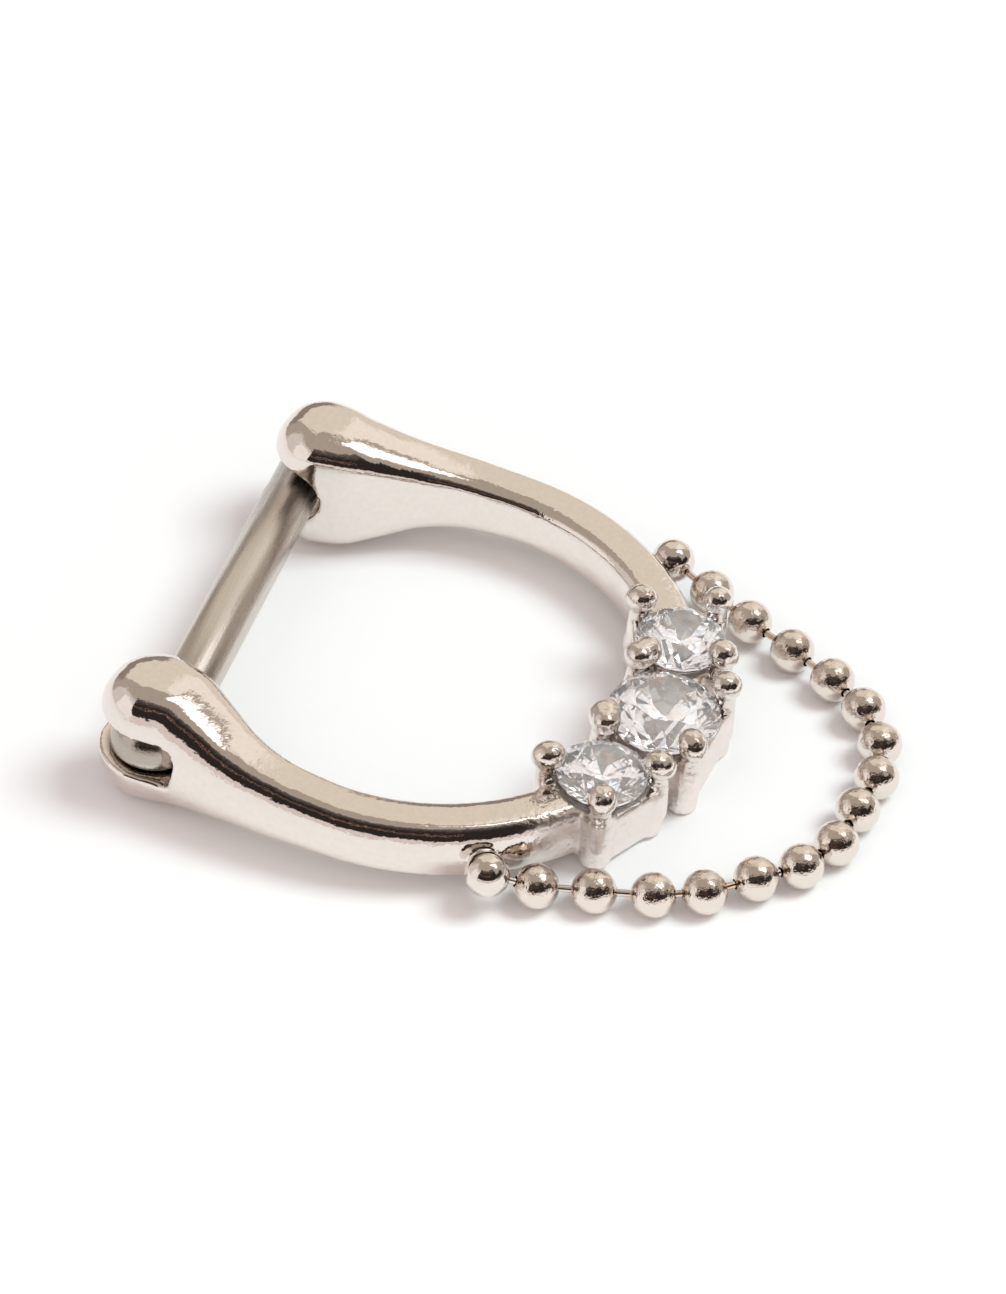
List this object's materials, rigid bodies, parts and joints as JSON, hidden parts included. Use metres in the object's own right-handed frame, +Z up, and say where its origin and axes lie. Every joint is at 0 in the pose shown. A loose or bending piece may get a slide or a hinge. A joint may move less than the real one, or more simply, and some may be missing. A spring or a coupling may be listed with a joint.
{
  "type": "septum ring",
  "caption": "D shaped septum ring with a hinged post, prong set clear stones round the front and a short ball chain across it, lying on its side.",
  "frame": {"origin": "middle of the outline at the height of the surface that the ring lies on", "axes": "+X from the post towards the stones and the chain, +Y along the closed post away from the hinge, +Z up as the ring lies on its side"},
  "size_m": [0.0164, 0.0122, 0.0033],
  "materials": {
    "ring_metal": "polished warm silver plating",
    "pin_metal": "plain steel",
    "post_metal": "satin drawn steel",
    "stone": "clear faceted stone",
    "bead_metal": "polished silver",
    "link_metal": "polished wire"
  },
  "bodies": {
    "ring": {"ring": "ring_metal", "hinge_pin": "pin_metal", "middle_stone": "stone", "near_stone": "stone", "far_stone": "stone", "bead_02": "bead_metal", "bead_03": "bead_metal", "bead_04": "bead_metal", "bead_05": "bead_metal", "bead_06": "bead_metal", "bead_07": "bead_metal", "bead_08": "bead_metal", "bead_09": "bead_metal", "bead_10": "bead_metal", "bead_11": "bead_metal", "bead_12": "bead_metal", "bead_13": "bead_metal", "bead_14": "bead_metal", "bead_15": "bead_metal", "bead_16": "bead_metal", "link_01": "link_metal", "link_02": "link_metal", "link_03": "link_metal", "link_04": "link_metal", "link_05": "link_metal", "link_06": "link_metal", "link_07": "link_metal", "link_08": "link_metal", "link_09": "link_metal", "link_10": "link_metal", "link_11": "link_metal", "link_12": "link_metal", "link_13": "link_metal", "link_14": "link_metal", "link_15": "link_metal", "link_16": "link_metal"},
    "post": {"post": "post_metal"}
  },
  "joints": [
    {"name": "post_hinge", "type": "hinge", "parent": "ring", "child": "post", "pos_m": [-0.00692, -0.00462, 0.00165], "axis": [0.0914, 0, 0.9958], "range_deg": [0, 95]}
  ]
}
